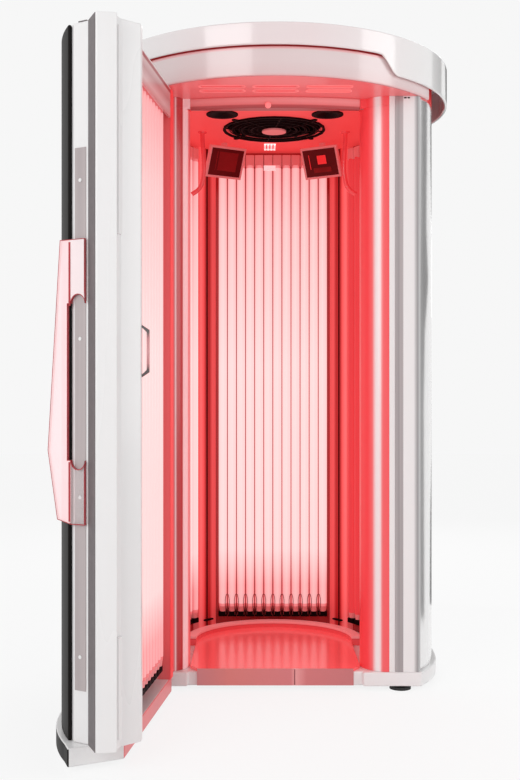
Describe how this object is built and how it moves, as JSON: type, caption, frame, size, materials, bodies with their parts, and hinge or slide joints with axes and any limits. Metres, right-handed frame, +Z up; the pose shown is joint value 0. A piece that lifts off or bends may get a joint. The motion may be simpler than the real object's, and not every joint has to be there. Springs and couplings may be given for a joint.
{
  "type": "vertical tanning booth",
  "caption": "Round stand-up lamp cabin with a curved hinged door, a slotted overhanging crown, a ceiling fan, control panels and a glossy standing platform.",
  "frame": {"origin": "on the floor under the cabin's vertical axis, at the underside of the middle support foot", "axes": "+Z up, -Y out through the doorway, +X to the latch side of the doorway as seen from the front"},
  "size_m": [1.355, 1.9839, 2.31],
  "materials": {
    "white_shell": "smooth glossy white lacquer",
    "dark_skin": "near black, glossy",
    "grey_metal": "satin aluminium",
    "bright_metal": "polished",
    "red_lining": null,
    "red_floor": "very glossy acrylic",
    "rose": "satin",
    "pale_rose": "satin",
    "lamp": "frosted lamp glass, lit",
    "mirror_sheet": "polished reflector sheet",
    "black": "black plastic",
    "screen": "dark glass",
    "acrylic": "clear pink acrylic",
    "rubber": "black rubber"
  },
  "bodies": {
    "cabin": {"base_plinth": "white_shell", "right_wall": "white_shell", "rear_wall": "white_shell", "left_wall": "white_shell", "latch_post": "white_shell", "hinge_post": "white_shell", "crown_soffit": "white_shell", "crown_drum": "white_shell", "crown_fascia": "white_shell", "roof_panel": "white_shell", "crown_halo": "white_shell", "latch_strip": "grey_metal", "hinge_strip": "bright_metal", "hinge_bracket_upper": "bright_metal", "hinge_bracket_lower": "bright_metal", "hinge_column": "red_lining", "latch_column": "red_lining", "right_pillar": "red_lining", "left_pillar": "red_lining", "ceiling_panel": "red_lining", "floor_platform": "red_floor", "kick_plate": "rose", "floor_rim": "pale_rose", "door_header": "pale_rose", "fan_cap": "pale_rose", "right_panel_frame": "pale_rose", "left_panel_frame": "pale_rose", "right_grip": "pale_rose", "left_grip": "pale_rose", "right_lamp_bank": "lamp", "left_lamp_bank": "lamp", "rear_lamp_bank": "lamp", "right_reflector": "mirror_sheet", "left_reflector": "mirror_sheet", "rear_reflector": "mirror_sheet", "fan_housing": "black", "fan_guard": "black", "right_speaker": "black", "left_speaker": "black", "right_panel_screen": "screen", "left_panel_screen": "screen", "foot_front_right": "rubber", "foot_front_left": "rubber", "foot_rear_right": "rubber", "foot_rear_left": "rubber", "foot_centre": "rubber", "cable_gland": "rubber"},
    "door": {"door_latch_stile": "white_shell", "door_edge_strip_upper": "white_shell", "door_edge_strip_lower": "white_shell", "door_hinge_stile": "white_shell", "door_plinth": "white_shell", "door_top_cap": "white_shell", "door_skin": "dark_skin", "door_cover_strip": "grey_metal", "door_lamp_bank": "lamp", "door_reflector": "mirror_sheet", "door_inner_pull": "black", "door_outer_handle": "acrylic"},
    "fan": {"fan_rotor": "black"}
  },
  "joints": [
    {"name": "door_hinge", "type": "hinge", "parent": "cabin", "child": "door", "pos_m": [-0.4, -0.456, 0], "axis": [0, 0, 1], "range_deg": [0, 96.5]},
    {"name": "fan_spin", "type": "hinge", "parent": "cabin", "child": "fan", "pos_m": [0, -0.05, 2.12], "axis": [0, 0, 1], "continuous": true}
  ]
}
